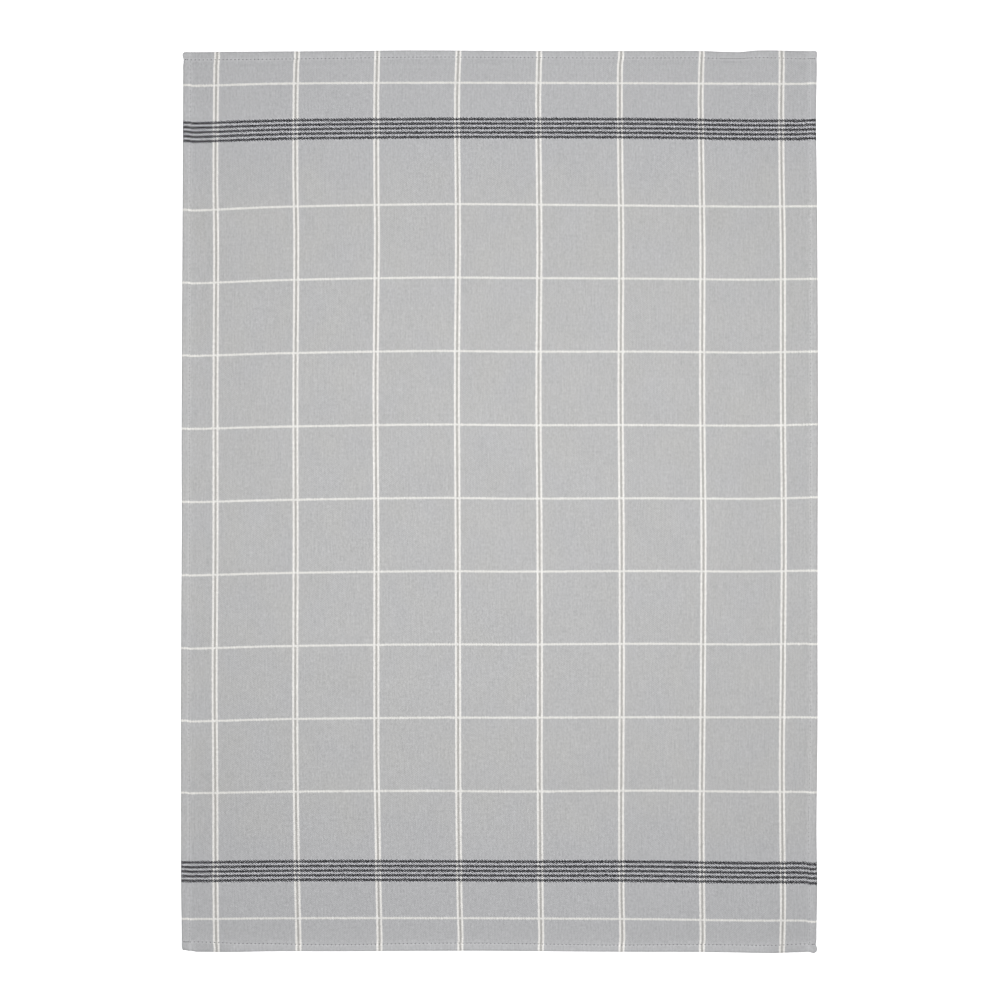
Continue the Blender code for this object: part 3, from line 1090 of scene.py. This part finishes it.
def thread_finish():
    """Grey cotton sewing thread, painted darker so that it also stands in for the shade of its
    needle holes.
    """
    finish = Finish("grey_thread_with_painted_hole_shade")
    place = finish.add("ShaderNodeTexCoord", None, None, "Object")
    x, y = finish.axis(place, 0) / MM, finish.axis(place, 1) / MM
    twist = ((x + y) * (2 * math.pi / THREAD_TWIST)).sine()
    fuzz = finish.grain(x, y, FUZZ_SIZE, FUZZ_SIZE, detail=1.0) - 0.5
    colour = finish.stained(THREAD_GREY_WITH_HOLE_SHADE, 1 + fuzz * FUZZ_SHADE + twist * TWIST_SHADE)
    bump = finish.add("ShaderNodeBump", None, {"Strength": TWIST_BUMP, "Distance": MM,
                                               "Height": twist * TWIST_RELIEF})
    finish.surface(base_color=colour, roughness=THREAD_ROUGHNESS, normal=bump)
    return finish.material


thread_material = thread_finish()
for sewing in (face_sewing, back_sewing):
    sewing.data.materials.append(thread_material)
print("thread finish:", thread_material.name)

# %% [markdown]
# ## Tie the pieces to the frame
#
# The frame has one body, called root. The sheet takes the place of the plain solid, and the two
# threads ride along with it.

# %% Tie the pieces to the frame
for piece in (towel, face_sewing, back_sewing):
    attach(piece, "root")
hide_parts("towel")
print("pieces:", [piece.name for piece in (towel, face_sewing, back_sewing)])

# %% [markdown]
# ## The table, the light and the camera
#
# The towel was photographed from straight above on pure white, with soft light and no shadow to
# speak of. A floor with a little light of its own stays white right up to the hems. Far out it
# curves up all round, as studio paper does, so a low view has no horizon. A large lamp overhead
# makes the middle slightly brighter than the ends, and the surroundings fill the rest. The
# camera stands well back, so the towel keeps its true proportions.

# %% Floor
FLOOR_FLAT = 3.2  # radius of the flat part, in metres
FLOOR_CURVE = 1.0  # how far and how high it curves up beyond that
FLOOR_SIDES, CURVE_STEPS = 96, 12
FLOOR_GREY = (0.82, 0.82, 0.82, 1.0)
FLOOR_GLOW = 0.78
FLOOR_BELOW = 0.02  # in millimetres, so that floor and cloth never share a plane


def floor_piece():
    """A plain white floor just under the towel, curved up far out."""
    angles = [math.pi / 2 * step / CURVE_STEPS for step in range(CURVE_STEPS + 1)]
    profile = [(FLOOR_FLAT + FLOOR_CURVE * math.sin(a), FLOOR_CURVE * (1 - math.cos(a)))
               for a in angles]
    round_about = [2 * math.pi * k / FLOOR_SIDES for k in range(FLOOR_SIDES)]
    places = [(radius * math.cos(a), radius * math.sin(a), height)
              for radius, height in profile for a in round_about]
    faces = [tuple(range(FLOOR_SIDES))] + ring_faces(CURVE_STEPS + 1, FLOOR_SIDES)
    mesh = smooth_mesh("floor", places, faces)
    finish = Finish("plain_white_floor")
    finish.surface(base_color=FLOOR_GREY, roughness=0.9, emission_color=FLOOR_GREY,
                   emission_strength=FLOOR_GLOW)
    mesh.materials.append(finish.material)
    return show("floor", mesh)


floor = floor_piece()
floor.location.z = -FLOOR_BELOW * MM
print("floor, metres across:", 2 * (FLOOR_FLAT + FLOOR_CURVE))

# %% Light
AMBIENT = 0.252
LAMP_HEIGHT, LAMP_WIDTH, LAMP_RIGHT, LAMP_UP = 1.0, 0.9, 0.03, 0.05
LAMP_POWER = 9.8


def surroundings():
    """Even light from all round."""
    world = bpy.data.worlds.new("studio")
    world.use_nodes = True
    background = world.node_tree.nodes["Background"]
    background.inputs["Color"].default_value = (1.0, 1.0, 1.0, 1.0)
    background.inputs["Strength"].default_value = AMBIENT
    bpy.context.scene.world = world


def overhead_lamp():
    """A large soft lamp over the towel, which the camera looks through."""
    lamp = bpy.data.lights.new("overhead", "AREA")
    lamp.shape = "DISK"
    lamp.size = LAMP_WIDTH
    lamp.energy = LAMP_POWER
    holder = show("overhead", lamp)
    holder.location = (LAMP_RIGHT, LAMP_UP, LAMP_HEIGHT)
    holder.visible_camera = False
    return holder


surroundings()
lamp_holder = overhead_lamp()
bpy.context.scene.view_settings.view_transform = "Standard"
print("lamp at, metres:", tuple(lamp_holder.location))

# %% Camera
CAMERA_HEIGHT = 2.5
SENSOR = 36.0
IMAGE_SIDE = 1000
MM_PER_PIXEL = 0.782
TOWEL_LEFT_PIXELS, TOWEL_DOWN_PIXELS = 0.3, 1.4  # how far it lies off the picture's middle


def overhead_camera():
    """The camera straight above the towel, framed as the photograph is."""
    data = bpy.data.cameras.new("camera")
    data.sensor_width = SENSOR
    seen = IMAGE_SIDE * MM_PER_PIXEL * MM
    data.lens = SENSOR * (CAMERA_HEIGHT - FIELD_THICKNESS * MM) / seen
    holder = show("camera", data)
    holder.location = (TOWEL_LEFT_PIXELS * MM_PER_PIXEL * MM - MIDDLE[0],
                       TOWEL_DOWN_PIXELS * MM_PER_PIXEL * MM - MIDDLE[1], CAMERA_HEIGHT)
    return holder


bpy.context.scene.camera = overhead_camera()
print("lens, mm:", bpy.context.scene.camera.data.lens)
